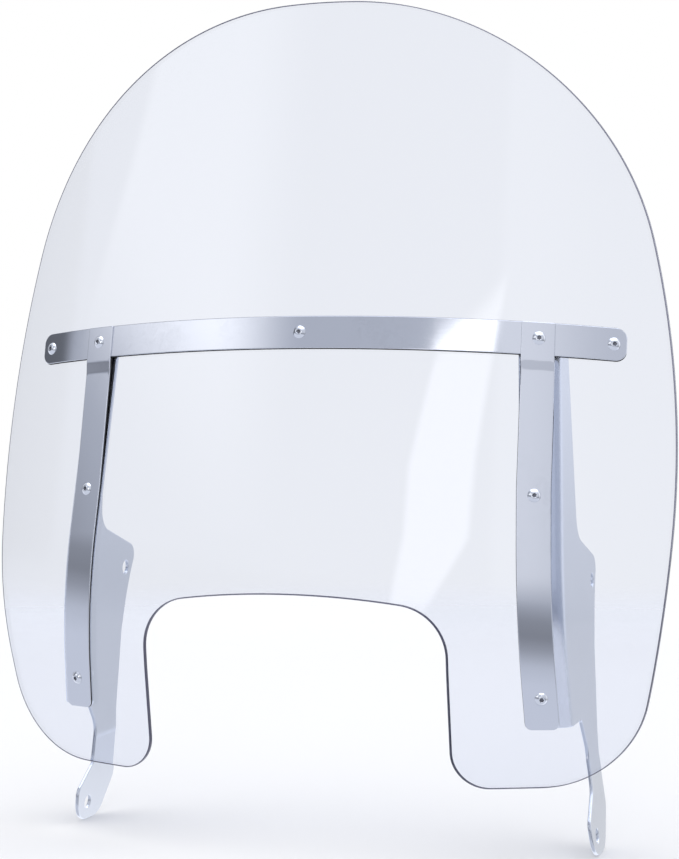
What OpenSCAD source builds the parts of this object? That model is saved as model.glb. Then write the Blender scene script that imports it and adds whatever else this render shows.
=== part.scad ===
// Motorcycle windshield screen with its brace bar, straps and side brackets.
// Millimetres. X points to the rider's left, Y to the rear and Z up.
// The origin is midway between the two lower mounting holes.

/* [Screen] */
// radius of the side-to-side curve, on the front face
screen_r = 558; // [450:1:700]
// thickness of the clear sheet
screen_t = 4.7; // [3:0.1:6]
// lean of the upper part from upright, degrees
rake = 11.2; // [5:0.1:20]
// turn of the bend between the upper and lower parts, degrees
turn = 20.8019; // [15:0.0001:25]
// distance from the brace line down to the start of the bend
bend_drop = 156; // [130:1:200]
// radius of the up-and-down bend, on the front face
bend_r = 330; // [250:5:500]
// how far the brace line stands above the lower holes
brace_z = 392; // [350:1:430]
// how far the brace line stands in front of the lower holes
brace_y = -74; // [-100:1:-50]

/* [Outline, seen from the front, heights from the brace line] */
// height of the top edge at the middle
top_z = 265; // [220:1:300]
// radius of the top edge
top_r = 600; // [400:10:900]
// radius of each shoulder
shoulder_r = 252; // [200:1:260]
// half of the greatest width
half_w = 283; // [260:1:300]
// height of the greatest width
wide_z = -114; // [-160:1:-80]
// radius of each side edge
side_r = 800; // [600:10:1200]
// radius of the outer corner at the foot of each leg
foot_r = 80; // [50:1:100]
// how far round the side the foot corner starts, degrees
foot_at = 12.2; // [9:0.1:14]
// slope of the foot of each leg, degrees
foot_slope = 1.5; // [0:0.5:12]
// radius of the inner corner at the foot of each leg
leg_r = 28; // [10:1:40]
// half width of the lamp notch
notch_w = 122.8; // [100:0.5:150]
// height of the top of the notch
notch_z = -201; // [-230:1:-180]
// radius of the top of the notch
notch_r = 640; // [400:10:900]
// corner radius of the notch
notch_c = 40; // [15:1:50]

/* [Brace and straps] */
// length of the brace bar round the curve
brace_len = 508; // [450:1:540]
// width of the brace bar
brace_w = 25.4; // [20:0.2:30]
// thickness of the brace bar and straps
strip_t = 1.5; // [1:0.1:3]
// thickness of the gasket tape
tape_t = 1; // [0.5:0.1:2]
// half width of a strap
strap_hw = 12.2; // [10:0.1:15]
// strap centre at the brace line
strap_x0 = 181.9; // [170:0.1:195]
// strap centre at the middle screw
strap_x1 = 183.8; // [170:0.1:195]
// strap centre at the lower screw
strap_x2 = 190.5; // [180:0.1:200]
// distance from the lower screw to the end of the strap
strap_end = 25; // [15:1:35]

/* [Screws] */
// outer screws, round the curve from the middle
u_outer = 243; // [220:0.5:250]
// strap top screws, round the curve
u_top = 185.2; // [170:0.1:195]
// middle screws, round the curve
u_mid = 187.2; // [170:0.1:200]
// lower screws, round the curve
u_low = 194.4; // [180:0.1:205]
// middle screws, down from the brace line
v_mid = -120.7; // [-150:0.1:-90]
// lower screws, down from the brace line
v_low = -285.7; // [-300:0.1:-278]
// screw shank radius
shank_r = 2.5; // [2:0.1:3.5]
// button head radius
head_r = 5.1; // [4:0.1:6]
// button head height
head_h = 2.8; // [2:0.1:4]
// hole radius in the sheet and strips
clear_r = 3; // [2.5:0.1:4]
// washer radius
washer_r = 5; // [4:0.1:7]
// washer thickness
washer_t = 1; // [0.5:0.1:2]
// cap nut width across flats
nut_af = 8; // [7:0.5:12]
// cap nut hex height
nut_h = 4; // [3:0.5:6]

/* [Side brackets] */
// plate thickness
plate_t = 3; // [2:0.1:5]
// outer bend radius between flange and plate
plate_bend = 8; // [5:0.5:12]
// inner edge of the flange
flange_x = 173; // [165:0.5:178]
// slope of the plate outwards going down, degrees
splay = 3; // [0:0.1:5]
// radius of the mounting holes
mount_r = 5.5; // [3:0.1:8]
// upper hole, sideways
upper_x = 203.2; // [190:0.1:215]
// upper hole, to the rear
upper_y = 48; // [30:0.5:60]
// upper hole, height
upper_z = 195.5; // [180:0.5:210]
// lower holes, sideways
lower_x = 218; // [205:0.1:230]
// height where the tail turns outwards
tail_z = 58; // [45:1:70]

/* [Hidden] */
$fn = 96;
deg = 180 / PI;
eps = 0.02;
tuck = turn - rake;
origin_b = [0, brace_y, brace_z];
// foot of the straight upper part and head of the straight lower part, at the middle
bend_a = origin_b - bend_drop * [0, sin(rake), cos(rake)];
bend_c = bend_a + bend_r * [0, cos(rake), -sin(rake)];
bend_b = bend_c - bend_r * [0, cos(tuck), sin(tuck)];
bend_len = bend_r * (rake + tuck) / deg;
// distances behind the front face of the sheet
front_strip = -tape_t - strip_t;
front_pad = front_strip - strip_t;
rear_tape = screen_t + tape_t;
rear_plate = rear_tape + plate_t;
pad_v = -15;
joggle_v = -27;

function ang(u) = u / screen_r * deg;
function meet(a, ra, b, rb) = // where two circles cross, on the upper or outer side
    let (d = norm(b - a), m = (ra * ra - rb * rb + d * d) / (2 * d), h = sqrt(ra * ra - m * m), e = (b - a) / d)
    a + m * e + h * [-e.y, e.x];
function toward(a, b, r) = a + r * (b - a) / norm(b - a);
function spin(v, n, a) = v * cos(a) + cross(n, v) * sin(a) + n * (n * v) * (1 - cos(a));

// points along an arc, close enough that the chords stay within 0.05 of it
function arc(c, r, a0, a1) = let (n = max(2, ceil(abs(a1 - a0) / (2 * acos(1 - 0.05 / r))))) [for (i = [0 : n]) c + r * [cos(a0 + (a1 - a0) * i / n), sin(a0 + (a1 - a0) * i / n)]];
function facing(a, b) = atan2(b.y - a.y, b.x - a.x);
function flip(p) = [for (i = [len(p) - 1 : -1 : 0]) [-p[i].x, p[i].y]];

// the flat views of the outline

c_top = [0, top_z - top_r];
c_side = [half_w - side_r, wide_z];
c_sh = meet(c_side, side_r - shoulder_r, c_top, top_r - shoulder_r);
c_foot = c_side + (side_r - foot_r) * [cos(foot_at), -sin(foot_at)];
foot_n = [sin(foot_slope), -cos(foot_slope)];
t_sole = c_foot + foot_r * foot_n;
c_leg = [notch_w + leg_r, t_sole.y - (t_sole.x - notch_w - leg_r) * tan(foot_slope) + leg_r / cos(foot_slope)];
c_notch = [0, notch_z - notch_r];
c_nc = [notch_w - notch_c, c_notch.y + sqrt(pow(notch_r - notch_c, 2) - pow(notch_w - notch_c, 2))];
half_outline = concat(
    arc(c_top, top_r, 90, facing(c_top, c_sh)),
    arc(c_sh, shoulder_r, facing(c_top, c_sh), facing(c_side, c_sh)),
    arc(c_side, side_r, facing(c_side, c_sh), -foot_at),
    arc(c_foot, foot_r, -foot_at, foot_slope - 90),
    arc(c_leg, leg_r, foot_slope - 90, -180),
    arc(c_nc, notch_c, 0, facing(c_notch, c_nc)),
    arc(c_notch, notch_r, facing(c_notch, c_nc), 90)
);
module outline() polygon(concat(half_outline, flip(half_outline)));

// a polygon with round corners; each row is x, y, corner radius
function corner(p, i) =
    let (n = len(p), v = [p[i].x, p[i].y], q = p[(i + n - 1) % n], s = p[(i + 1) % n], r = p[i].z,
        a = ([q.x, q.y] - v) / norm([q.x, q.y] - v), b = ([s.x, s.y] - v) / norm([s.x, s.y] - v),
        h = acos(a * b) / 2, c = v + (a + b) / norm(a + b) * r / sin(h),
        f0 = facing(c, v + a * r / tan(h)), f1 = facing(c, v + b * r / tan(h)), w = f1 - f0)
    r == 0 ? [v] : arc(c, r, f0, f0 + (w > 180 ? w - 360 : w < -180 ? w + 360 : w));
module soft(p) polygon([for (i = [0 : len(p) - 1]) each corner(p, i)]);

// the curved layers

// a slice of the side-to-side curve between two depths behind the front face
module band(d0, d1, x0, x1) {
    intersection() {
        translate([0, screen_r]) difference() { circle(r = screen_r - d0); circle(r = screen_r - d1); }
        translate([x0, -10]) square([x1 - x0, 130]);
    }
}

// carries a flat section up the sheet: straight, bent, straight
module sweep(up, down) translate(bend_c) rotate([-90 - rake, 0, 0]) rotate([0, 90, 0]) {
    rotate([90, 0, 0]) linear_extrude(height = up) translate([bend_r, 0]) rotate(90) children();
    rotate_extrude(angle = turn) translate([bend_r, 0]) rotate(90) children();
    rotate([0, 0, turn]) rotate([90, 0, 0]) translate([0, 0, -down]) linear_extrude(height = down) translate([bend_r, 0]) rotate(90) children();
}

module upper() translate(origin_b) rotate([-rake, 0, 0]) children();
module lower() translate(bend_b) rotate([tuck, 0, 0]) children();
// stands a front view up as a block that reaches through the whole part
module through() translate([0, 150, 0]) rotate([90, 0, 0]) linear_extrude(height = 300) children();
// a view in the plane of the upper part
module upper_through() upper() translate([0, 150, 0]) rotate([90, 0, 0]) linear_extrude(height = 200) children();

// puts children on the front face, with their Z pointing out of it
module spot(u, v) {
    if (v > -bend_drop) upper() translate([0, 0, v]) round_to(u) children();
    else lower() translate([0, 0, v + bend_drop + bend_len]) round_to(u) children();
}
module round_to(u) translate([0, screen_r, 0]) rotate([0, 0, ang(u)]) translate([0, -screen_r, 0]) rotate([90, 0, 0]) children();
module drill(u, v, r = clear_r) spot(u, v) cylinder(r = r, h = 40, center = true);

// 1 screen

module screen() color([0.80, 0.86, 0.92, 0.5]) {
    difference() {
        intersection() {
            sweep(bend_drop + 290, 125) band(0, screen_t, -300, 300);
            through() translate([0, brace_z]) outline();
        }
        drill(0, 0);
        for (s = [-1, 1]) {
            drill(s * u_outer, 0);
            drill(s * u_top, 0);
            drill(s * u_mid, v_mid);
            drill(s * u_low, v_low);
        }
    }
}

// 2 brace bar across the front, and the tape under it

brace_x = screen_r * sin(ang(brace_len / 2));
module bar_view(hw, x, r) soft([[-x, -hw, r], [x, -hw, r], [x, hw, r], [-x, hw, r]]);
module bar(d0, d1, hw, x) {
    difference() {
        intersection() {
            upper() translate([0, 0, -hw - 1]) linear_extrude(height = 2 * hw + 2) band(d0, d1, -260, 260);
            upper_through() bar_view(hw, x, 8);
        }
        drill(0, 0);
        for (s = [-1, 1]) { drill(s * u_outer, 0); drill(s * u_top, 0); }
    }
}
module brace_bar() color([0.86, 0.87, 0.89]) bar(front_strip, -tape_t, brace_w / 2, brace_x);
module brace_tape() color([0.10, 0.10, 0.11]) bar(-tape_t, 0, brace_w / 2 - 0.4, brace_x - 1);

// 3 straps down the front, and the tape under them; these are the +X ones

low_z = brace_z - 275.5;
module strap_view(hw) {
    soft([
        [strap_x0 - hw, brace_z + 40, 0],
        [strap_x1 - hw, brace_z - 120, 60],
        [strap_x2 - hw + 0.9, low_z - strap_end, 5],
        [strap_x2 + hw + 0.9, low_z - strap_end, 5],
        [strap_x1 + hw, brace_z - 120, 60],
        [strap_x0 + hw, brace_z + 40, 0],
    ]);
}
module strap() {
    difference() {
        intersection() {
            union() {
                sweep(bend_drop + joggle_v, 60) band(front_strip, -tape_t, 160, 215);
                intersection() {
                    upper() translate([0, screen_r, joggle_v]) difference() {
                        cylinder(r1 = screen_r - front_strip, r2 = screen_r - front_pad, h = pad_v - joggle_v);
                        cylinder(r1 = screen_r + tape_t, r2 = screen_r - front_strip, h = pad_v - joggle_v);
                    }
                    upper() translate([160, -10, joggle_v - 1]) cube([55, 80, 20]);
                }
                upper() translate([0, 0, pad_v]) linear_extrude(height = brace_w / 2 - pad_v) band(front_pad, front_strip, 160, 215);
            }
            through() strap_view(strap_hw);
        }
        drill(u_top, 0);
        drill(u_mid, v_mid);
        drill(u_low, v_low);
    }
}
module strap_tape() {
    difference() {
        intersection() {
            sweep(bend_drop - brace_w / 2 - 0.6, 60) band(-tape_t, 0, 160, 215);
            through() strap_view(strap_hw - 0.4);
        }
        drill(u_mid, v_mid);
        drill(u_low, v_low);
    }
}
module left_strap() color([0.78, 0.80, 0.83]) strap();
module right_strap() color([0.78, 0.80, 0.83]) mirror([1, 0, 0]) strap();
module left_strap_tape() color([0.10, 0.10, 0.11]) strap_tape();
module right_strap_tape() color([0.10, 0.10, 0.11]) mirror([1, 0, 0]) strap_tape();

// 4 side brackets: a flange behind the sheet, bent back into a plate with a lobe and a tail

hinge_t = ang(190);
hinge = origin_b + [screen_r * sin(hinge_t),
    screen_r * (1 - cos(hinge_t)) * cos(rake) - 139 * sin(rake),
    -screen_r * (1 - cos(hinge_t)) * sin(rake) - 139 * cos(rake)];
hinge_n = [sin(hinge_t), -cos(hinge_t) * cos(rake), cos(hinge_t) * sin(rake)];
module splayed() translate(hinge) rotate(a = splay, v = hinge_n) translate(-hinge) children();
// the two holes before the bracket is splayed
up_h = hinge + spin([upper_x, upper_y, upper_z] - hinge, hinge_n, -splay);
low_h = hinge + spin([lower_x, 0, 0] - hinge, hinge_n, -splay);
plate_x = up_h.x + plate_t / 2;
flare_r = 10;
// turn of the tail that carries its middle plane through the lower hole
tail_turn = atan((low_h.x - up_h.x) / (tail_z - low_h.z));
cb = [plate_x - plate_bend, screen_r - sqrt(pow(screen_r - rear_tape - plate_bend, 2) - pow(plate_x - plate_bend, 2))];
cc = [0, screen_r];
module angle_view() {
    intersection() {
        band(rear_tape, rear_plate, flange_x, 215);
        polygon([cc, toward(cc, [flange_x - 20, 0], 700), toward(cc, cb, 700)]);
    }
    intersection() {
        translate(cb) difference() { circle(r = plate_bend); circle(r = plate_bend - plate_t); }
        polygon([cb, cb + [20, 0], cb + [20, -20], toward(cc, cb, norm(cb - cc) + 20)]);
    }
    translate([plate_x - plate_t, cb.y]) square([plate_t, 11]);
}
// the plate seen from the side, to the rear and up
module plate_view() soft([
    [-21, brace_z + 3, 0],
    [-33, 327, 0],
    [-44, 267, 0],
    [-54, 215, 0],
    [-56, 190, 0],
    [-54, 150, 0],
    [-50, 116, 0],
    [-46, 91.5, 0],
    [-21, 91.5, 8],
    [0, 64, 24],
    [1, 33, 12],
    [-25, 11, 9],
    [-21, -16.5, 19],
    [20, -16.5, 20],
    [43, 14, 14],
    [38.5, 72, 60],
    [44, 142, 60],
    [67, 209, 11],
    [-3, 232, 20],
    [-3, brace_z + 3, 9],
]);
module slab() translate([plate_x - plate_t, 0, 0]) rotate([90, 0, 90]) linear_extrude(height = plate_t) children();
tail_edge = [[-80, tail_z], [120, tail_z]];
module bracket() {
    difference() {
        splayed() union() {
            difference() {
                intersection() {
                    sweep(bend_drop + brace_w / 2 - 3, 60) angle_view();
                    translate([0, -150, 91.5]) cube([260, 200, 340]);
                }
                // round the lower inner corner of the flange
                translate([flange_x, 150, 91.5]) rotate([90, 0, 0]) linear_extrude(height = 300)
                    difference() { translate([-1, -1]) square([7, 7]); translate([6, 6]) circle(r = 6); }
            }
            slab() intersection() { plate_view(); translate([-80, tail_z]) square([200, 400]); }
            // small bend where the tail turns outwards
            translate([plate_x + flare_r, 0, tail_z]) rotate([90, 0, 0]) rotate([0, 0, 180])
                rotate_extrude(angle = tail_turn) intersection() {
                    translate([flare_r, -60]) square([plate_t, 120]);
                    translate([flare_r, -39.6]) square([plate_t, 39.4]);
                }
            tail_frame() slab() intersection() { plate_view(); translate([-80, tail_z - 200]) square([200, 200]); }
        }
        drill(u_top, 0);
        drill(u_mid, v_mid);
        drill(u_low, v_low);
        translate([upper_x, upper_y, upper_z]) rotate([0, 90, 0]) cylinder(r = mount_r, h = 30, center = true);
        translate([lower_x, 0, 0]) rotate([0, 90, 0]) cylinder(r = mount_r, h = 30, center = true);
    }
}
// turns the tail outwards about the centre of the small bend
module tail_frame() translate([plate_x + flare_r, 0, tail_z]) rotate([0, -tail_turn, 0]) translate([-plate_x - flare_r, 0, -tail_z]) children();
module bracket_tape() {
    difference() {
        intersection() {
            splayed() intersection() {
                sweep(bend_drop + brace_w / 2 - 5, 60) intersection() {
                    band(screen_t, rear_tape, flange_x + 1, 215);
                    polygon([cc, toward(cc, [flange_x - 20, 0], 700), toward(cc, cb, 700)]);
                }
                translate([0, -150, 93.5]) cube([260, 200, 340]);
            }
            // the tape is as wide as the strap in front of it, less a margin
            through() strap_view(strap_hw - 1.5);
        }
        drill(u_top, 0);
        drill(u_mid, v_mid);
        drill(u_low, v_low);
    }
}
module left_bracket() color([0.80, 0.82, 0.85]) bracket();
module right_bracket() color([0.80, 0.82, 0.85]) mirror([1, 0, 0]) bracket();
module left_bracket_tape() color([0.10, 0.10, 0.11]) bracket_tape();
module right_bracket_tape() color([0.10, 0.10, 0.11]) mirror([1, 0, 0]) bracket_tape();

// 5 screws, washers and cap nuts; front is the depth that the head sits at, back the depth that the washer sits at

module screw(u, v, front, back) color([0.62, 0.64, 0.68]) spot(u, v) {
    difference() {
        intersection() {
            translate([0, 0, -front + head_h - 6.2]) sphere(r = 6.2);
            translate([0, 0, -front]) cylinder(r = head_r, h = head_h);
        }
        translate([0, 0, -front + 1]) cylinder(r = 1.75, h = 4, $fn = 6);
    }
    translate([0, 0, -back - washer_t - nut_h - 0.5]) cylinder(r = shank_r, h = back + washer_t + nut_h + 0.5 - front + eps);
}
module washer(u, v, back) color([0.70, 0.71, 0.73]) spot(u, v)
    translate([0, 0, -back - washer_t - 0.03]) difference() {
        cylinder(r = washer_r, h = washer_t);
        translate([0, 0, -1]) cylinder(r = shank_r + 0.2, h = washer_t + 2);
    }
module nut(u, v, back) color([0.66, 0.67, 0.70]) spot(u, v)
    translate([0, 0, -back - washer_t - 0.05]) mirror([0, 0, 1]) difference() {
        union() {
            cylinder(r = nut_af / sqrt(3), h = nut_h, $fn = 6);
            intersection() {
                translate([0, 0, nut_h - 0.5]) sphere(r = nut_af / 2 - 0.3);
                cylinder(r = nut_af / 2, h = nut_h + 6);
            }
        }
        translate([0, 0, -1]) cylinder(r = shank_r + 0.05, h = nut_h + 2);
    }

module screw_centre() screw(0, 0, front_strip, screen_t);
module washer_centre() washer(0, 0, screen_t);
module nut_centre() nut(0, 0, screen_t);
module screw_outer_left() screw(u_outer, 0, front_strip, screen_t);
module washer_outer_left() washer(u_outer, 0, screen_t);
module nut_outer_left() nut(u_outer, 0, screen_t);
module screw_outer_right() screw(-u_outer, 0, front_strip, screen_t);
module washer_outer_right() washer(-u_outer, 0, screen_t);
module nut_outer_right() nut(-u_outer, 0, screen_t);
module screw_top_left() screw(u_top, 0, front_pad, rear_plate);
module washer_top_left() washer(u_top, 0, rear_plate);
module nut_top_left() nut(u_top, 0, rear_plate);
module screw_top_right() screw(-u_top, 0, front_pad, rear_plate);
module washer_top_right() washer(-u_top, 0, rear_plate);
module nut_top_right() nut(-u_top, 0, rear_plate);
module screw_mid_left() screw(u_mid, v_mid, front_strip, rear_plate);
module washer_mid_left() washer(u_mid, v_mid, rear_plate);
module nut_mid_left() nut(u_mid, v_mid, rear_plate);
module screw_mid_right() screw(-u_mid, v_mid, front_strip, rear_plate);
module washer_mid_right() washer(-u_mid, v_mid, rear_plate);
module nut_mid_right() nut(-u_mid, v_mid, rear_plate);
module screw_low_left() screw(u_low, v_low, front_strip, rear_plate);
module washer_low_left() washer(u_low, v_low, rear_plate);
module nut_low_left() nut(u_low, v_low, rear_plate);
module screw_low_right() screw(-u_low, v_low, front_strip, rear_plate);
module washer_low_right() washer(-u_low, v_low, rear_plate);
module nut_low_right() nut(-u_low, v_low, rear_plate);

screen();
brace_bar();
brace_tape();
left_strap();
right_strap();
left_strap_tape();
right_strap_tape();
left_bracket();
right_bracket();
left_bracket_tape();
right_bracket_tape();
screw_centre();
washer_centre();
nut_centre();
screw_outer_left();
washer_outer_left();
nut_outer_left();
screw_outer_right();
washer_outer_right();
nut_outer_right();
screw_top_left();
washer_top_left();
nut_top_left();
screw_top_right();
washer_top_right();
nut_top_right();
screw_mid_left();
washer_mid_left();
nut_mid_left();
screw_mid_right();
washer_mid_right();
nut_mid_right();
screw_low_left();
washer_low_left();
nut_low_left();
screw_low_right();
washer_low_right();
nut_low_right();
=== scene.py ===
"""Motorcycle windshield: a clear curved screen with its polished brace, straps, side brackets and bolts.

Everything is in metres. X points to the rider's left, Y to the rear and Z up, with the origin midway between the
two lower mounting holes.
"""

from math import ceil, cos, pi, radians, sin

import bmesh
import bpy
import numpy as np
from bpy.props import FloatProperty, FloatVectorProperty, IntProperty, PointerProperty
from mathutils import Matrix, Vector
from mathutils.geometry import delaunay_2d_cdt


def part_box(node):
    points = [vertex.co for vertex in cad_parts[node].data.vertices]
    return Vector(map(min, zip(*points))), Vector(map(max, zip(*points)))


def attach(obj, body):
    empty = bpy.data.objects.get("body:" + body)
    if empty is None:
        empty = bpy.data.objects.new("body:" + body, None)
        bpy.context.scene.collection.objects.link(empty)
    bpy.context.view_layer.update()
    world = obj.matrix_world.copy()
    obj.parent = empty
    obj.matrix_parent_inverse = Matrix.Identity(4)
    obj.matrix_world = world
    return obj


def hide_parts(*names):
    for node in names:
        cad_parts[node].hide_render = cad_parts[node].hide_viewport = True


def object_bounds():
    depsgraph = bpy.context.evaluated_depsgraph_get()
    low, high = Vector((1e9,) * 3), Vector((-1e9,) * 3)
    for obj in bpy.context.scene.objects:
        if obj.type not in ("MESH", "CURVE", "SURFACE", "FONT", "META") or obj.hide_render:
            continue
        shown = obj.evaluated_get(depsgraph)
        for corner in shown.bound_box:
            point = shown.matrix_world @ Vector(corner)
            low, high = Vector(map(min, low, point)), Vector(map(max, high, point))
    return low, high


bl_info = {
    "name": "Motorcycle windshield",
    "version": (1, 0, 0),
    "blender": (4, 5, 0),
    "location": "View3D > Sidebar > Windshield",
    "description": "Builds a clear motorcycle windshield with its steel brace, straps, brackets and bolts",
    "category": "Add Mesh",
}

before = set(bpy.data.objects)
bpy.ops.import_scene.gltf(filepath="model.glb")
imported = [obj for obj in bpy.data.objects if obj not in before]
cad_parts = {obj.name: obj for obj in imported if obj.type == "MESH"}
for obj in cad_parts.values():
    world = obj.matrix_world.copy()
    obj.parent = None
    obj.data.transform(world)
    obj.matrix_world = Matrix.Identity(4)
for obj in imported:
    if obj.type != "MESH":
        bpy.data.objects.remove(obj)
cad_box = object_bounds()
MM = 0.001
SIDES = {"left": 1, "right": -1}
SHEET_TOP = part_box("screen")[1]
OFF_BOX = 1.2 * MM  # how far a piece may be off the box of its CAD node
GAP = 0.05 * MM  # air left between a tape and the face on it
TAPE_EDGE = 0.2 * MM  # rounding of the tapes' edges
STEP, WIDE_STEP = 3 * MM, 4 * MM  # distances between the points of the strips and brackets
HOLE_SIDES, MOUNT_SIDES = 40, 56
SHARP = 30  # in degrees, the angle from which the edges of screws and nuts stay sharp


# Settings


def size(name, default, description):
    return FloatProperty(name=name, description=description, default=default, unit="LENGTH", precision=4)


def turn(name, degrees, description):
    value = radians(degrees)
    return FloatProperty(name=name, description=description, default=value, subtype="ANGLE", unit="ROTATION")


def colour(name, default, description):
    kept = {"size": 3, "subtype": "COLOR", "min": 0, "max": 1}
    return FloatVectorProperty(name=name, description=description, default=default, **kept)


def share(name, default, description, top=1.0):
    kept = {"min": 0, "max": top, "subtype": "FACTOR"}
    return FloatProperty(name=name, description=description, default=default, **kept)


def amount(name, default, description, top):
    return FloatProperty(name=name, description=description, default=default, min=0, max=top)


class WS_ScreenSettings(bpy.types.PropertyGroup):
    """Sizes of the clear sheet."""

    curve: size("Side curve", 0.558, "Radius of the side-to-side curve, on the front face")
    thickness: size("Thickness", 0.0047, "Thickness of the clear sheet")
    lean: turn("Lean", 11.2, "Lean of the upper part from upright")
    bend_turn: turn("Bend turn", 20.8019, "Turn of the bend between the upper and lower parts")
    bend_drop: size("Bend drop", 0.156, "Distance from the brace line down to the start of the bend")
    bend: size("Bend radius", 0.330, "Radius of the up-and-down bend, on the front face")
    line_z: size("Brace line height", 0.392, "How far the brace line stands above the lower holes")
    line_y: size("Brace line reach", -0.074, "Where the brace line stands, front to rear")
    top_z: size("Top", SHEET_TOP.z - 0.392, "Height of the top edge at the middle, from the brace line")
    top_arc: size("Top edge radius", 0.600, "Radius of the top edge")
    shoulder: size("Shoulder radius", 0.252, "Radius of each shoulder")
    half_width: size("Half width", SHEET_TOP.x, "Half of the greatest width")
    wide_z: size("Widest height", -0.114, "Height of the greatest width, from the brace line")
    side_arc: size("Side edge radius", 0.800, "Radius of each side edge")
    foot: size("Foot radius", 0.080, "Radius of the outer corner at the foot of each leg")
    foot_at: turn("Foot start", 12.2, "How far round the side the foot corner starts")
    foot_slope: turn("Foot slope", 1.5, "Slope of the foot of each leg")
    leg: size("Leg corner", 0.028, "Radius of the inner corner at the foot of each leg")
    notch_x: size("Notch half width", 0.1228, "Half width of the lamp notch")
    notch_z: size("Notch top", -0.201, "Height of the top of the notch, from the brace line")
    notch_arc: size("Notch radius", 0.640, "Radius of the top of the notch")
    notch_corner: size("Notch corner", 0.040, "Corner radius of the notch")
    edge: size("Polished edge", 0.0009, "Rounding of the polished edge")
    mesh_step: size("Mesh step", 0.006, "Distance between the points of the sheet's grid")


class WS_SteelSettings(bpy.types.PropertyGroup):
    """Sizes of the brace, straps, tapes and brackets."""

    brace_half: size("Brace half length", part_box("brace_bar")[1].x, "Half length of the brace bar, across")
    brace_wide: size("Brace width", 0.0254, "Width of the brace bar")
    strip: size("Strip thickness", 0.0015, "Thickness of the brace bar and straps")
    tape: size("Tape thickness", 0.001, "Thickness of the gasket tape")
    strap_half: size("Strap half width", 0.0122, "Half width of a strap")
    strap_top: size("Strap at the brace", 0.1819, "Strap centre at the brace line")
    strap_mid: size("Strap at the middle", 0.1838, "Strap centre at the middle screw")
    strap_low: size("Strap at the foot", 0.1905, "Strap centre at the lower screw")
    strap_foot: size("Strap foot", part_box("left_strap")[0].z, "Height of the lower end of the straps")
    edge: size("Steel edge", 0.0005, "Rounding of the edges of the strips and brackets")
    plate: size("Plate thickness", 0.003, "Thickness of the side brackets")
    plate_bend: size("Plate bend", 0.008, "Outer radius of the bend between flange and plate")
    plate_x: size("Plate place", 0.203142, "Outer face of the plate before it is splayed")
    flange_x: size("Flange edge", 0.173, "Inner edge of the flange")
    splay: turn("Splay", 3, "Slope of the plate outwards going down")
    tail_turn: turn("Tail turn", 4.603, "How far the tail turns outwards")
    tail_z: size("Tail turn height", 0.058, "Height where the tail turns outwards")
    mount: size("Mounting hole", 0.0055, "Radius of the mounting holes")


class WS_BoltSettings(bpy.types.PropertyGroup):
    """Sizes of the screws, washers and nuts."""

    shank: size("Shank radius", 0.0025, "Radius of the screw shank")
    pitch: size("Thread pitch", 0.0008, "Distance from one thread to the next")
    hole: size("Hole radius", 0.003, "Radius of the holes in the sheet and strips")
    head: size("Head radius", 0.0051, "Radius of the button head")
    head_high: size("Head height", 0.0028, "Height of the button head")
    socket: size("Socket", 0.0015, "Half the width across flats of the hexagon socket")
    washer: size("Washer radius", 0.005, "Radius of the washer")
    washer_thick: size("Washer thickness", 0.001, "Thickness of the washer")
    nut: size("Nut", 0.004, "Half the width across flats of the cap nut")
    nut_high: size("Nut height", 0.004, "Height of the nut's hexagon")
    facets: IntProperty(name="Facets", description="Steps round screws and nuts", default=72, min=24, max=144)


class WS_FinishSettings(bpy.types.PropertyGroup):
    """Colours and surface finish."""

    tint: colour("Sheet tint", (0.936, 0.953, 1.0), "Tint of the clear sheet")
    depth_tint: colour("Depth colour", (0.07, 0.15, 0.33), "What is left of light that runs along inside it")
    depth: amount("Depth", 22.0, "How fast light is lost inside the sheet, per metre", 200)
    steel: colour("Polished steel", (0.80, 0.81, 0.845), "Colour of the polished strips")
    plate: colour("Bracket steel", (0.78, 0.80, 0.84), "Colour of the side brackets")
    bolt: colour("Bolt steel", (0.90, 0.91, 0.93), "Colour of the screws, washers and nuts")
    # this colour is painted shade: a dark steel standing in for the shadow inside each socket and under each
    # head's rim
    socket: colour("Painted shade steel", (0.20, 0.20, 0.22), "Colour inside the sockets and under the heads' rims")
    # the edge's colour is painted shade: darker than the clear sheet, for the dark line that refraction makes
    # along a clear edge
    rim: colour("Sheet edge painted shade", (0.15, 0.15, 0.22), "Colour of the sheet's cut edge")
    rubber: colour("Tape", (0.018, 0.018, 0.020), "Colour of the gasket tape")
    polish: share("Strip roughness", 0.07, "Roughness of the polished strips")
    satin: share("Bracket roughness", 0.16, "Roughness of the side brackets")


class WS_StudioSettings(bpy.types.PropertyGroup):
    """The floor, the light and the camera."""

    floor: colour("Floor", (0.86, 0.86, 0.87), "Colour of the floor")
    floor_reach: size("Floor reach", 2.6, "How far the floor goes before it has faded into the backdrop")
    strip_power: amount("Strip light", 10.0, "Power of the tall strip light, in watts", 1000)
    top_power: amount("Overhead light", 11.0, "Power of the overhead light, in watts", 1000)
    wide_power: share("Wide light", 0.70, "Brightness of the wide soft light to the right", 5.0)
    tall_power: share("Tall light", 1.5, "Brightness of the tall soft light ahead", 5.0)
    backdrop: share("Backdrop", 1.0, "Brightness of the backdrop", 2.0)
    view_turn: turn("View turn", 18.9, "How far the camera stands round to the rider's left")
    view_rise: turn("View rise", 1.04, "How far the camera looks down")
    view_reach: size("View distance", 1.6532, "Distance from the camera to the brace line")
    lens: FloatProperty(name="Lens", description="Focal length in millimetres", default=89.25, min=10, max=300)


# Flat outlines


def arc(centre, radius, start, end, step):
    """Points on a circle of that radius round centre, from one angle to the other, at most step apart."""
    count = max(3, ceil(abs(end - start) * radius / step), ceil(abs(end - start) / radians(5)))
    a = np.linspace(start, end, count + 1)
    return np.asarray(centre) + radius * np.stack([np.cos(a), np.sin(a)], 1)


def facing(a, b):
    return float(np.arctan2(b[1] - a[1], b[0] - a[0]))


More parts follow.
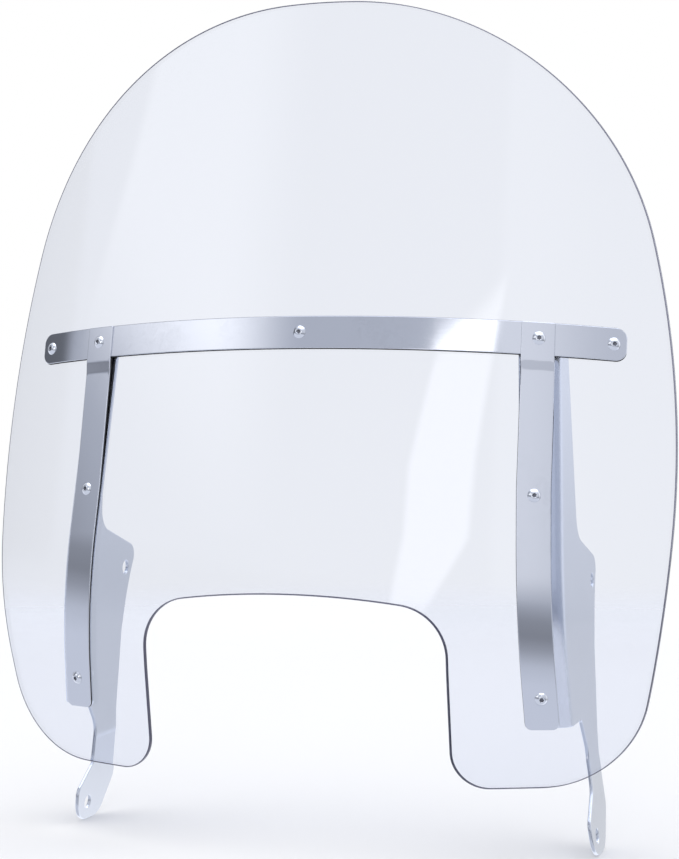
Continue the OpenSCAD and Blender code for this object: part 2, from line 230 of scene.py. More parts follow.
def crossing(a, ra, b, rb):
    """Where the circle ra round a crosses the circle rb round b, on the left of the way from a to b."""
    a, b = np.asarray(a), np.asarray(b)
    d = np.hypot(*(b - a))
    along = (ra**2 - rb**2 + d**2) / (2 * d)
    e = (b - a) / d
    return a + along * e + np.sqrt(ra**2 - along**2) * np.array([-e[1], e[0]])


def split(points, parts):
    """The closed outline with each side cut into its number of equal parts."""
    ahead = np.roll(points, -1, 0) - points
    start = np.repeat(np.arange(len(points)), parts)
    along = (np.arange(len(start)) - np.repeat(np.cumsum(parts) - parts, parts)) / parts[start]
    return points[start] + ahead[start] * along[:, None]


def evenly(points, step):
    """The closed outline with sides no longer than step, and doubled points left out."""
    points = points[np.hypot(*(np.roll(points, -1, 0) - points).T) > 1e-6]
    ahead = np.roll(points, -1, 0) - points
    return split(points, np.maximum(1, np.ceil(np.hypot(*ahead.T) / step)).astype(int))


def steps(low, high, step):
    return np.linspace(low, high, max(2, ceil((high - low) / step) + 1))


def steps_over(line, across, up):
    """Even places across and up the box of a flat outline."""
    low, high = line.min(0), line.max(0)
    return steps(low[0], high[0], across), steps(low[1], high[1], up)


def rounded(corners, step):
    """A closed outline through corners (across, up, radius), each an arc that touches both its sides."""
    corners, made = np.array(corners, float), []
    for i in range(len(corners)):
        v, r = corners[i, :2], corners[i, 2]
        if r == 0:
            made.append(v[None])
            continue
        a, b = corners[i - 1, :2] - v, corners[(i + 1) % len(corners), :2] - v
        a, b = a / np.hypot(*a), b / np.hypot(*b)
        half = np.arccos(a @ b) / 2
        centre = v + (a + b) / np.hypot(*(a + b)) * r / np.sin(half)
        first = facing(centre, v + a * r / np.tan(half))
        last = facing(centre, v + b * r / np.tan(half))
        made.append(arc(centre, r, first, first + (last - first + pi) % (2 * pi) - pi, step))
    return np.concatenate(made)


def screen_outline(s):
    """The sheet's edge seen from the front: half of it as circles that touch, and its mirror image."""
    top, side = np.array([0, s.top_z - s.top_arc]), np.array([s.half_width - s.side_arc, s.wide_z])
    shoulder = crossing(side, s.side_arc - s.shoulder, top, s.top_arc - s.shoulder)
    foot = side + (s.side_arc - s.foot) * np.array([cos(s.foot_at), -sin(s.foot_at)])
    sole = foot + s.foot * np.array([sin(s.foot_slope), -cos(s.foot_slope)])
    leg_x = s.notch_x + s.leg
    leg = np.array([leg_x, sole[1] - (sole[0] - leg_x) * np.tan(s.foot_slope) + s.leg / cos(s.foot_slope)])
    notch = np.array([0, s.notch_z - s.notch_arc])
    inner_x = s.notch_x - s.notch_corner
    inner = np.array([inner_x, notch[1] + np.sqrt((s.notch_arc - s.notch_corner) ** 2 - inner_x**2)])
    step = 0.004
    half = np.concatenate([
        arc(top, s.top_arc, pi / 2, facing(top, shoulder), step),
        arc(shoulder, s.shoulder, facing(top, shoulder), facing(side, shoulder), step),
        arc(side, s.side_arc, facing(side, shoulder), -s.foot_at, step),
        arc(foot, s.foot, -s.foot_at, s.foot_slope - pi / 2, step),
        arc(leg, s.leg, s.foot_slope - pi / 2, -pi, step),
        arc(inner, s.notch_corner, 0, facing(notch, inner), step),
        arc(notch, s.notch_arc, facing(notch, inner), pi / 2, step),
    ])
    whole = np.concatenate([half, half[::-1] * [-1, 1]])[::-1]
    return evenly(whole + [0, s.line_z], step)


# The curved sheet that everything follows


class Curve:
    """The sheet's surface. Side to side it is a circle.

    Up and down, its front profile is a straight lean, an arc and a straight tuck, and a layer at any depth keeps
    the same distance from it.
    """

    def __init__(self, s):
        self.radius, self.bend, self.lean, self.tuck = s.curve, s.bend, s.lean, s.bend_turn - s.lean
        self.line_y, self.line_z, self.drop = s.line_y, s.line_z, s.bend_drop
        self.centre_y = s.line_y - s.bend_drop * sin(s.lean) + s.bend * cos(s.lean)
        self.centre_z = s.line_z - s.bend_drop * cos(s.lean) - s.bend * sin(s.lean)

    def sink(self, x, depth):
        """How far a layer lies behind the front profile at x: the radius less the circle's height there."""
        return self.radius - np.sqrt((self.radius - depth) ** 2 - x**2)

    def rear(self, sink, z):
        """Y at height z of the line that stays sink behind the front profile.

        On the arc it comes from the sine of the slope, and past the arc's ends it goes along the tangents.
        """
        reach = self.bend - sink
        slope = np.arcsin(np.clip((z - self.centre_z) / reach, -sin(self.tuck), sin(self.lean)))
        past = z - self.centre_z - reach * np.sin(slope)
        return self.centre_y - reach * np.cos(slope) + past * np.tan(slope)

    def behind(self, y, z):
        """The other way round: how far behind the front profile a point (y, z) lies."""
        dy, dz = self.centre_y - y, z - self.centre_z
        slope = np.clip(np.arctan2(dz, dy), -self.tuck, self.lean)
        return self.bend - dy * np.cos(slope) - dz * np.sin(slope)

    def layer(self, x, z, depth):
        """The point of a layer that shows at (x, z) from the front."""
        return np.stack([x, self.rear(self.sink(x, depth), z), z], -1)

    def up(self, x, z, depth):
        """Distance up the leaning part from the brace line."""
        return (z - self.line_z + self.sink(x, depth) * sin(self.lean)) / cos(self.lean)

    def leaning(self, x, v, depth):
        """A point of the upper part from its distance v up the lean."""
        sink = self.sink(x, depth)
        return np.stack([
            x,
            self.line_y + v * sin(self.lean) + sink * cos(self.lean),
            self.line_z + v * cos(self.lean) - sink * sin(self.lean),
        ], -1)

    def spot(self, u, v):
        """A point on the front face, u round and v up, with the ways across, up and out as rows."""
        side, low = u / self.radius, v < -self.drop
        slope = -self.tuck if low else self.lean
        start = np.array([0, self.line_y, self.line_z])
        if low:
            arc_long = self.bend * (self.lean + self.tuck)
            start = np.array([0, self.centre_y - self.bend * cos(slope), self.centre_z + self.bend * sin(slope)])
            v = v + self.drop + arc_long
        up = np.array([0, sin(slope), cos(slope)])
        out = np.array([sin(side), -cos(side) * cos(slope), cos(side) * sin(slope)])
        inward = np.array([0, cos(slope), -sin(slope)])
        place = start + v * up + self.radius * np.array([sin(side), 0, 0])
        place = place + self.radius * (1 - cos(side)) * inward
        return place, np.array([np.cross(up, out), up, out])


def bore(curve, u, v, radius):
    """A drilled hole's rim seen from the front, clockwise, and how far it moves for each metre of depth."""
    place, (across, up, out) = curve.spot(u, v)
    a = np.linspace(0, -2 * pi, HOLE_SIDES, endpoint=False)[:, None]
    rim = place + radius * (np.cos(a) * across + np.sin(a) * up)
    return rim[:, [0, 2]], -out[[0, 2]]


# Meshes


def inside(points, loops):
    """True where a line to the right of a point crosses the loops an odd number of times."""
    a, b = np.concatenate(loops), np.concatenate([np.roll(p, -1, 0) for p in loops])
    x, y = points[:, 0:1], points[:, 1:2]
    rise = np.where(a[:, 1] == b[:, 1], 1, b[:, 1] - a[:, 1])
    cut = a[:, 0] + (y - a[:, 1]) / rise * (b[:, 0] - a[:, 0])
    return (((a[:, 1] > y) != (b[:, 1] > y)) & (x < cut)).sum(1) % 2 == 1


def clearance(points, loops):
    """Distance from each point to the nearest point of the loops."""
    rim = np.concatenate(loops)
    return np.hypot(points[:, :1] - rim[:, 0], points[:, 1:] - rim[:, 1]).min(1)


def fill(loops, inner):
    """Triangles that fill the flat loops and use the inner points, as numbers into both together."""
    points, first, sides = np.concatenate([*loops, inner]), 0, []
    for loop in loops:
        i = np.arange(len(loop)) + first
        sides.append(np.stack([i, np.roll(i, -1)], 1))
        first += len(loop)
    made = delaunay_2d_cdt([Vector(p) for p in points], np.concatenate(sides).tolist(), [], 0, 1e-9)
    if len(made[0]) != len(points):
        raise RuntimeError("two points of an outline are the same, or its sides cross")
    order = np.array([o[0] for o in made[3]])
    faces = order[np.array(made[2])]
    a, b, c = (points[faces[:, i]] for i in range(3))
    turned = (b[:, 0] - a[:, 0]) * (c[:, 1] - a[:, 1]) < (b[:, 1] - a[:, 1]) * (c[:, 0] - a[:, 0])
    faces[turned] = faces[turned][:, ::-1]
    return faces[inside((a + b + c) / 3, loops)]


def unit(v):
    return v / np.maximum(np.linalg.norm(v, axis=-1, keepdims=True), 1e-12)


def slab(loops, shifts, place, thickness, edge, columns, rows, clear=0.5):
    """A plate cut to flat loops and laid on place(across, up, depth), its edges rounded by quarter circles.

    The first loop goes anticlockwise seen from the front and the holes clockwise. shifts says how far each loop
    moves for a metre of depth. Normals come from the surface itself: at the edge they turn from the face's normal
    to the way out of the loop. Returns points, faces, normals, flat coordinates and the number of faces that
    aren't on an edge, which come first.
    """
    outward = []
    for loop in loops:
        t = unit(np.roll(loop, -1, 0) - np.roll(loop, 1, 0))
        outward.append(np.stack([t[:, 1], -t[:, 0]], 1))
    bow = np.linspace(0, pi / 2, 5)
    profile = [(edge * (1 - sin(a)), edge * (1 - cos(a)), cos(a), sin(a)) for a in bow]
    profile += [(edge * (1 - sin(a)), thickness - edge * (1 - cos(a)), -cos(a), sin(a)) for a in bow[::-1]]
    ring = [
        [loop - n * inset + np.asarray(shift) * depth for loop, n, shift in zip(loops, outward, shifts)]
        for inset, depth, _, _ in profile
    ]
    grid = np.stack(np.meshgrid(columns, rows), -1).reshape(-1, 2)
    grid = grid[inside(grid, ring[0])]
    gap = clear * min(np.diff(columns).max(), np.diff(rows).max())
    grid = grid[clearance(grid, [*ring[0], *ring[-1]]) > gap]
    front = fill(ring[0], grid)
    rim, inner = sum(len(p) for p in loops), len(grid)
    # rings first, one after another, then the front grid and the back grid
    flat = np.concatenate([*(np.concatenate(r) for r in ring), grid, grid])
    ends = ((0.0, thickness), (1.0, -1.0), (0.0, 0.0))
    depth, face_way, edge_way = (
        np.concatenate([np.repeat(column, rim), np.full(inner, front_end), np.full(inner, back_end)])
        for column, (front_end, back_end) in zip(list(zip(*profile))[1:], ends)
    )
    out = np.concatenate([*([np.concatenate(outward)] * len(profile)), np.zeros((2 * inner, 2))])
    first_grid = rim * len(profile)
    last_ring = rim * (len(profile) - 1)
    to_back = np.concatenate([np.arange(rim) + last_ring, np.arange(inner) + first_grid + inner])
    to_front = np.concatenate([np.arange(rim), np.arange(inner) + first_grid])
    faces = [*to_front[front].tolist(), *to_back[front][:, ::-1].tolist()]
    start = 0
    for loop in loops:
        i = np.arange(len(loop)) + start
        j = np.roll(i, -1)
        level = rim * np.arange(len(profile) - 1)[:, None]
        quads = np.stack([i + level, i + level + rim, j + level + rim, j + level], -1)
        faces += quads.reshape(-1, 4).tolist()
        start += len(loop)
    small = 2e-5
    a, b = flat.T
    along = place(a + small, b, depth) - place(a - small, b, depth)
    upward = place(a, b + small, depth) - place(a, b - small, depth)
    normal = unit(np.cross(along, upward))
    away = place(a + small * out[:, 0], b + small * out[:, 1], depth) - place(a, b, depth)
    away = unit(away - normal * (away * normal).sum(-1, keepdims=True))
    normals = unit(normal * face_way[:, None] + away * edge_way[:, None])
    return place(a, b, depth), faces, normals, flat, len(faces) - last_ring


def spun(rows, facets):
    """A turned shape from rows of radius and height at each angle. Rows of no radius close it to a point."""
    a = np.linspace(0, 2 * pi, facets, endpoint=False)
    radius = np.array([np.broadcast_to(r[0], facets) for r in rows])
    height = np.array([np.broadcast_to(r[1], facets) for r in rows])
    points = np.stack([radius * np.cos(a), radius * np.sin(a), height], -1).reshape(-1, 3)
    i = np.arange(facets)
    j = np.roll(i, -1)
    level = facets * np.arange(len(rows) - 1)[:, None]
    quads = np.stack([i + level, j + level, j + level + facets, i + level + facets], -1).reshape(-1, 4)
    return points, quads


def hexagon(half_flats, facets):
    """Radius of a hexagon at each angle: half its width over the cosine from the nearest flat."""
    a = np.linspace(0, 2 * pi, facets, endpoint=False)
    return half_flats / np.cos((a % (pi / 3)) - pi / 6)


def piece(
    name, node, slot, material, points, faces, normals=None, flat=None, plain=0, mirrored=False, rim=None
):
    """A mesh object for the CAD node that it stands for, with mirrored as the same shape on the other side.

    With rim, the faces after the first plain ones have that material.
    """
    points = np.array(points, float)
    if mirrored:
        points[:, 0] *= -1
        faces = [f[::-1] for f in faces]
    mesh = bpy.data.meshes.new(name)
    mesh.from_pydata(points.tolist(), [], list(map(list, faces)), shade_flat=False)
    if flat is not None:
        corner = np.zeros(len(mesh.loops), np.int32)
        mesh.loops.foreach_get("vertex_index", corner)
        layer = mesh.uv_layers.new(name="Flat")
        layer.uv.foreach_set("vector", flat[corner].astype(np.float32).ravel())
    if normals is not None:
        normals = np.array(normals, float) * ([-1, 1, 1] if mirrored else [1, 1, 1])
        mesh.normals_split_custom_set_from_vertices(normals.tolist())
    mesh.materials.append(finish(material))
    if rim:
        mesh.materials.append(finish(rim))
        mesh.polygons.foreach_set("material_index", (np.arange(len(faces)) >= plain).astype(np.int32))
    obj = bpy.data.objects.new(name, mesh)
    bpy.context.scene.collection.objects.link(obj)
    low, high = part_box(node)
    off = max(np.abs(points.min(0) - np.array(low)).max(), np.abs(points.max(0) - np.array(high)).max())
    if off > OFF_BOX:
        found = f"{points.min(0)} to {points.max(0)}, not {low} to {high}"
        raise RuntimeError(f"{name} is {off / MM:.2f} mm off the box of {node}: {found}")
    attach(obj, "root")
    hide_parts(node)
    return obj


def closed(obj):
    """Joins doubled points, so that poles and seams are closed, and shades smooth up to a sharp angle."""
    bm = bmesh.new()
    bm.from_mesh(obj.data)
    bmesh.ops.remove_doubles(bm, verts=bm.verts, dist=2e-6)
    bmesh.ops.dissolve_degenerate(bm, edges=bm.edges, dist=1e-6)
    bmesh.ops.recalc_face_normals(bm, faces=bm.faces)
    bm.to_mesh(obj.data)
    bm.free()
    obj.data.shade_smooth()
    obj.data.set_sharp_from_angle(angle=radians(SHARP))


# Materials

SHEET_IOR = 1.49
# how closely the grain lies along and across a piece, in lines per metre
ALONG, ACROSS = (25.0, 2600.0, 1.0), (2600.0, 25.0, 1.0)
SATIN_GRAIN, EVEN_GRAIN = (1800.0, 60.0, 1.0), (900.0, 900.0, 900.0)


def add(tree, kind, values=None, **settings):
    """A node with its settings and its inputs by name or number, each linked or set to a value."""
    node = tree.nodes.new(kind)
    for key, value in settings.items():
        setattr(node, key, value)
    for key, value in (values or {}).items():
        if isinstance(value, bpy.types.NodeSocket):
            tree.links.new(value, node.inputs[key])
        else:
            node.inputs[key].default_value = value
    return node


def maths(tree, kind, *values):
    return add(tree, "ShaderNodeMath", dict(enumerate(values)), operation=kind).outputs[0]


def product(tree, first, *rest):
    for factor in rest:
        first = maths(tree, "MULTIPLY", first, factor)
    return first


def ramp(tree, value, low, high, to_low=0.0, to_high=1.0):
    """Goes smoothly from to_low to to_high while value goes from low to high."""
    values = {"Value": value, "From Min": low, "From Max": high, "To Min": to_low, "To Max": to_high}
    return add(tree, "ShaderNodeMapRange", values, interpolation_type="SMOOTHSTEP").outputs["Result"]


def noise(tree, where, scale, detail, more=None):
    values = {"Vector": where, "Scale": scale, "Detail": detail, **(more or {})}
    return add(tree, "ShaderNodeTexNoise", values).outputs["Fac"]


def blend(tree, factor, a, b):
    """A colour between a and b."""
    values = {"Factor": factor, "A": (*a, 1), "B": (*b, 1)}
    return add(tree, "ShaderNodeMix", values, data_type="RGBA").outputs[2]


def bump(tree, height, strength, distance):
    values = {"Height": height, "Strength": strength, "Distance": distance}
    return add(tree, "ShaderNodeBump", values).outputs["Normal"]


def group(name, inputs, outputs):
    """An empty shader node group with named inputs and outputs, and its two end nodes."""
    tree = bpy.data.node_groups.get(name)
    if tree:
        return tree, None, None
    tree = bpy.data.node_groups.new(name, "ShaderNodeTree")
    for key, kind, default in inputs:
        socket = tree.interface.new_socket(name=key, in_out="INPUT", socket_type=kind)
        if default is not None:
            socket.default_value = default
    for key, kind in outputs:
        tree.interface.new_socket(name=key, in_out="OUTPUT", socket_type=kind)
    return tree, tree.nodes.new("NodeGroupInput"), tree.nodes.new("NodeGroupOutput")


def grain_group():
    """Fine lines of a rolled and polished surface: noise drawn out along one way, as roughness and height."""
    tree, start, end = group(
        "Rolled grain",
        [
            ("Vector", "NodeSocketVector", None),
            ("Stretch", "NodeSocketVector", (40.0, 2500.0, 1.0)),
            ("Roughness", "NodeSocketFloat", 0.08),
            ("Spread", "NodeSocketFloat", 0.03),
        ],
        [("Roughness", "NodeSocketFloat"), ("Height", "NodeSocketFloat")],
    )
    if start:
        ends = {0: start.outputs["Vector"], 1: start.outputs["Stretch"]}
        along = add(tree, "ShaderNodeVectorMath", ends, operation="MULTIPLY").outputs[0]
        lines = noise(tree, along, 1.0, 3.0, {"Roughness": 0.6})
        offset = maths(tree, "SUBTRACT", lines, 0.5)
        rough = maths(tree, "MULTIPLY_ADD", offset, start.outputs["Spread"], start.outputs["Roughness"])
        tree.links.new(rough, end.inputs["Roughness"])
        tree.links.new(lines, end.inputs["Height"])
    return tree


def handling_group():
    """Faint marks of wiping: broad soft patches crossed by finer streaks, as a mask from 0 to 1."""
    tree, start, end = group(
        "Handling marks",
        [
            ("Vector", "NodeSocketVector", None),
            ("Scale", "NodeSocketFloat", 9.0),
            ("Amount", "NodeSocketFloat", 1.0),
        ],
        [("Mask", "NodeSocketFloat")],
    )
    if start:
        where, scale = start.outputs["Vector"], start.outputs["Scale"]
        broad = noise(tree, where, scale, 2.0, {"Distortion": 0.6})
        finer = maths(tree, "MULTIPLY", scale, 7.0)
        fine = noise(tree, where, finer, 5.0, {"Roughness": 0.65, "Distortion": 1.2})
        patch, streak = ramp(tree, broad, 0.45, 0.75), ramp(tree, fine, 0.35, 0.8)
        tree.links.new(product(tree, patch, streak, start.outputs["Amount"]), end.inputs["Mask"])
    return tree


def new_material(name):
    """A material with its tree, its end node and the place in the object that a pattern starts from."""
    mat = bpy.data.materials.new(name)
    mat.use_nodes = True
    tree = mat.node_tree
    tree.nodes.clear()
    where = add(tree, "ShaderNodeTexCoord").outputs["Object"]
    return mat, tree, tree.nodes.new("ShaderNodeOutputMaterial"), where


def lose_light(tree, end, f):
    """Takes light away along its path inside the sheet."""
    loss = add(tree, "ShaderNodeVolumeAbsorption", {"Color": (*f.depth_tint, 1), "Density": f.depth})
    tree.links.new(loss.outputs[0], end.inputs["Volume"])


def clear_material(f):
    """Clear cast sheet: it bends light, loses a little inside, and lets the lamps through with its tint."""
    mat, tree, end, where = new_material("Clear sheet")
    wiped = {"Vector": where, "Scale": 5.0, "Amount": 0.012}
    marks = add(tree, "ShaderNodeGroup", wiped, node_tree=handling_group()).outputs["Mask"]
    glass = add(tree, "ShaderNodeBsdfPrincipled", {
        "Base Color": (*f.tint, 1),
        "Roughness": marks,
        "IOR": SHEET_IOR,
        "Transmission Weight": 1.0,
        "Normal": bump(tree, noise(tree, where, 3.2, 1.0), 0.25, 0.004),
    })
    through = add(tree, "ShaderNodeBsdfTransparent", {"Color": (*[c**0.5 * 0.97 for c in f.tint], 1)})
    lamps = add(tree, "ShaderNodeLightPath").outputs["Is Shadow Ray"]
    mix = add(tree, "ShaderNodeMixShader", {0: lamps, 1: glass.outputs[0], 2: through.outputs[0]})
    tree.links.new(mix.outputs[0], end.inputs["Surface"])
    lose_light(tree, end, f)
    return mat


def edge_material(f):
    """The sheet's sawn and polished edge: glossy, letting little light through, and darker than the faces as
    painted shade.
    """
    mat, tree, end, where = new_material("Sheet edge painted shade")
    saw = noise(tree, where, 260.0, 2.0)
    # the dark base colour and the light held back are painted shade for the edge's dark line; the saw noise only
    # varies it
    rim = add(tree, "ShaderNodeBsdfPrincipled", {
        "Base Color": blend(tree, saw, [c * 0.85 for c in f.rim], [c * 1.15 for c in f.rim]),
        "Roughness": ramp(tree, saw, 0.3, 0.7, 0.12, 0.22),
        "IOR": SHEET_IOR,
        "Transmission Weight": 0.5,
        "Normal": bump(tree, saw, 0.1, 0.0004),
    })
    tree.links.new(rim.outputs[0], end.inputs["Surface"])
    lose_light(tree, end, f)
    return mat


def steel_material(name, tone, rough, stretch, spread=0.03, height=0.02, marks=0.05):
    """Polished or satin steel: a fine grain along the piece, and faint, slightly darker handling marks."""
    mat, tree, end, where = new_material(name)
    flat = add(tree, "ShaderNodeUVMap", uv_map="Flat").outputs[0] if stretch else where
    grain = {"Vector": flat, "Stretch": stretch or EVEN_GRAIN, "Roughness": rough, "Spread": spread}
    lines = add(tree, "ShaderNodeGroup", grain, node_tree=grain_group())
    wiped = {"Vector": where, "Scale": 14.0, "Amount": 1.0}
    mask = add(tree, "ShaderNodeGroup", wiped, node_tree=handling_group()).outputs["Mask"]
    steel = add(tree, "ShaderNodeBsdfPrincipled", {
        "Base Color": blend(tree, mask, tone, [c * 0.93 for c in tone]),
        "Metallic": 1.0,
        "Roughness": maths(tree, "MULTIPLY_ADD", mask, marks, lines.outputs["Roughness"]),
        "Normal": bump(tree, lines.outputs["Height"], height, 0.0001),
    })
    tree.links.new(steel.outputs[0], end.inputs["Surface"])
    return mat


def rubber_material(f):
    """Black foam tape: matt, with a fine open grain."""
    mat, tree, end, where = new_material("Gasket tape")
    pores = noise(tree, where, 900.0, 3.0)
    foam = add(tree, "ShaderNodeBsdfPrincipled", {
        "Base Color": blend(tree, pores, f.rubber, [c * 1.8 for c in f.rubber]),
        "Roughness": ramp(tree, pores, 0.3, 0.7, 0.62, 0.85),
        "Normal": bump(tree, pores, 0.3, 0.0003),
    })
    tree.links.new(foam.outputs[0], end.inputs["Surface"])
    return mat


def finish(name):
    """The named material, made the first time that a piece asks for it."""
    f = bpy.context.scene.ws_finish
    makers = {
        "Clear sheet": lambda: clear_material(f),
        "Sheet edge painted shade": lambda: edge_material(f),
        "Gasket tape": lambda: rubber_material(f),
        "Brace steel": lambda: steel_material(name, f.steel, f.polish, ALONG),
        "Strap steel": lambda: steel_material(name, f.steel, f.polish, ACROSS),
        "Bracket steel": lambda: steel_material(name, f.plate, f.satin, SATIN_GRAIN, 0.08, 0.05, 0.12),
        # painted shade for the screws' sockets and the walls under their rims
        "Painted shade steel": lambda: steel_material(name, f.socket, 0.35, None, 0.10, 0.05, 0.10),
        "Bolt steel": lambda: steel_material(name, f.bolt, 0.09, None, 0.06, 0.03, 0.08),
    }
    return bpy.data.materials.get(name) or makers[name]()


# Where the bolts are: round the curve, up the face, what the head sits on and what the washer sits on

BOLTS = {
    "centre": (0.0, 0.0, "bar", "sheet"),
    "outer": (0.243, 0.0, "bar", "sheet"),
    "top": (0.1852, 0.0, "pad", "bracket"),
    "mid": (0.1872, -0.1207, "bar", "bracket"),
    "low": (0.1944, -0.2857, "bar", "bracket"),
}
STRAP_BOLTS = ("top", "mid", "low")
# the strap's step up onto the bar: where it starts below the brace line, how far it takes, and the share of it at
# each end that is bent
PAD_FOOT, PAD_RISE, BEND_SHARE = -0.0255, 0.0105, 0.16
# heights of the strap's middle screw and top from the brace line, and how far out its foot is moved
STRAP_MID, STRAP_TOP, FOOT_OUT = -0.120, 0.040, 0.9 * MM


# the bracket: where the splay's hinge stands round the sheet and below the brace line, the foot of the flange, how
# long the turn into the tail is and how far beside the plate its centre lies
HINGE_AT, HINGE_DROP, FLANGE_FOOT, TAIL_LONG, FLARE = 0.190, -0.139, 0.0915, 6 * MM, 0.010
# each mounting hole's centre, and how far above it the search for its rim starts
MOUNTS = (((0.2032, 0.048, 0.1955), 0.0), ((0.218, 0.0, 0.0), 0.002))
# the plate's corners seen from the side, as millimetres to the rear and up, with the radius of each
PLATE_CORNERS = (
    (-46, 91.5, 0), (-21, 91.5, 8), (0, 64, 24), (1, 33, 12), (-25, 11, 9), (-21, -16.5, 19), (20, -16.5, 20),
    (43, 14, 14), (38.5, 72, 60), (44, 142, 60), (67, 209, 11), (-3, 232, 20), (-3, 395, 9), (-21, 395, 0),
    (-40, 395, 0),
)


def holes(curve, names, radius, mirrors=(1,)):
    """The rims of the named bolts' holes, and how each moves with depth."""
    spots = [(BOLTS[n][0] * m, BOLTS[n][1]) for n in names for m in mirrors if n != "centre" or m == 1]
    made = [bore(curve, u, v, radius) for u, v in spots]
    return [m[0] for m in made], [m[1] for m in made]


class WS_OT_clear_screen(bpy.types.Operator):
    """The clear sheet, curved both ways, with its lamp notch, polished edge and bolt holes"""

    bl_idname = "windshield.clear_screen"
    bl_label = "Clear screen"

    def execute(self, context):
        s, b = context.scene.ws_screen, context.scene.ws_bolt
        curve = Curve(s)
        rims, ways = holes(curve, BOLTS, b.hole, (1, -1))
        line = screen_outline(s)
        grid = steps_over(line, s.mesh_step, s.mesh_step)
        made = slab([line, *rims], [(0, 0), *ways], curve.layer, s.thickness, s.edge, *grid)
        piece("clear_screen", "screen", "clear_sheet", "Clear sheet", *made, rim="Sheet edge painted shade")
        return {"FINISHED"}


class WS_OT_brace(bpy.types.Operator):
    """The polished brace bar across the front, and the gasket tape under it"""

    bl_idname = "windshield.brace"
    bl_label = "Brace bar"

    def execute(self, context):
        k, b = context.scene.ws_steel, context.scene.ws_bolt
        curve = Curve(context.scene.ws_screen)
        corner, trim = 8 * MM, 0.3 * MM
        steel = ("brace_strip", "brace_bar", "polished_strip", "Brace steel")
        foam = ("brace_gasket", "brace_tape", "gasket_tape", "Gasket tape")
        for names, front, thick, less, edge in (
            (steel, -k.tape - k.strip, k.strip, 0.0, k.edge),
            (foam, -k.tape, k.tape - GAP, trim, TAPE_EDGE),
        ):
            # for the tape, less makes it 0.45 mm wider than the bar at top and bottom: the black tape is real, but
            # the strip of it showing past the bar is painted shadow and reflection along the bar's edges
            x, w = k.brace_half - less, k.brace_wide / 2 + less * 1.5
            outline = rounded([[-x, -w, corner], [x, -w, corner], [x, w, corner], [-x, w, corner]], WIDE_STEP)
            rims, _ = holes(curve, ("centre", "outer", "top"), b.hole, (1, -1))
            rims = [np.stack([r[:, 0], curve.up(r[:, 0], r[:, 1], 0.0)], 1) for r in rims]
            loops = [evenly(outline, WIDE_STEP), *rims]

            def place(a, v, depth, front=front):
                return curve.leaning(a, v, depth + front)

            grid = steps(-x, x, WIDE_STEP), steps(-w, w, STEP)
            piece(*names, *slab(loops, [(0, 0)] * len(loops), place, thick, edge, *grid, clear=0.4))
        return {"FINISHED"}


class WS_OT_straps(bpy.types.Operator):
    """The two polished straps that step over the brace bar and run down the sheet, and the tape under them"""

    bl_idname = "windshield.straps"
    bl_label = "Straps"

    def execute(self, context):
        k, b = context.scene.ws_steel, context.scene.ws_bolt
        curve = Curve(context.scene.ws_screen)
        top = curve.line_z + 0.5 * k.brace_wide * cos(curve.lean)
        mid, far = curve.line_z + STRAP_MID, curve.line_z + STRAP_TOP

        def outline(inner, outer, cap):
            side = []
            for half in (-inner, outer):
                x = k.strap_top + half
                z = cap(x)
                x = x + (far - z) / (far - mid) * (k.strap_mid - k.strap_top)
                side.append((x, z))
            foot = k.strap_low + FOOT_OUT
            corners = [[foot - inner, k.strap_foot, 5 * MM], [foot + outer, k.strap_foot, 5 * MM]]
            corners += [[k.strap_mid + outer, mid, 60 * MM], [*side[1], 1.0 * MM]]
            corners += [[*side[0], 1.0 * MM], [k.strap_mid - inner, mid, 60 * MM]]
            return evenly(rounded(corners, STEP), STEP)

        def over_bar(x):
            return top - curve.sink(x, -3 * MM) * sin(curve.lean)

        def under_bar(x):
            return over_bar(x) - (k.brace_wide + 0.6 * MM) * cos(curve.lean)

        def steel(a, z, depth):
            """The strap's front lies the tape and its own thickness proud, and one strip more over the bar.

            The step between is a straight ramp with a parabola at each end.
            """
            t = np.clip((curve.up(a, z, depth) - PAD_FOOT) / PAD_RISE, 0, 1)
            near = np.minimum(t, 1 - t)
            eased = np.where(near < BEND_SHARE, near**2 / (2 * BEND_SHARE), near - BEND_SHARE / 2)
            eased = eased / (1 - BEND_SHARE)
            return curve.layer(a, z, depth - k.tape - k.strip * (1 + np.where(t < 0.5, eased, 1 - eased)))

        def foam(a, z, depth):
            return curve.layer(a, z, depth - k.tape)

        metal = ("strap_steel", "strap", "polished_strip", "Strap steel")
        tape = ("strap_gasket", "strap_tape", "gasket_tape", "Gasket tape")
        less = 0.5 * MM
        for (name, node, slot, look), cap, trim, place, thick, edge, bolts in (
            (metal, over_bar, 0.0, steel, k.strip, k.edge, STRAP_BOLTS),
            (tape, under_bar, less, foam, k.tape - GAP, TAPE_EDGE, STRAP_BOLTS[1:]),
        ):
            rims, ways = holes(curve, bolts, b.hole)
            line = outline(k.strap_half + trim, k.strap_half - trim, cap)
            (left, low), (right, high) = line.min(0), line.max(0)
            # closer rows where the strap steps up onto the bar
            close = curve.line_z - 40 * MM
            rows = np.concatenate([steps(low, close, WIDE_STEP), steps(close + 1 * MM, high, 1 * MM)])
            columns = steps(left, right, STEP)
            made = slab([line, *rims], [(0, 0), *ways], place, thick, edge, columns, rows, clear=0.4)
            for side, way in SIDES.items():
                piece(f"{name}_{side}", f"{side}_{node}", slot, look, *made, mirrored=way < 0)
        return {"FINISHED"}


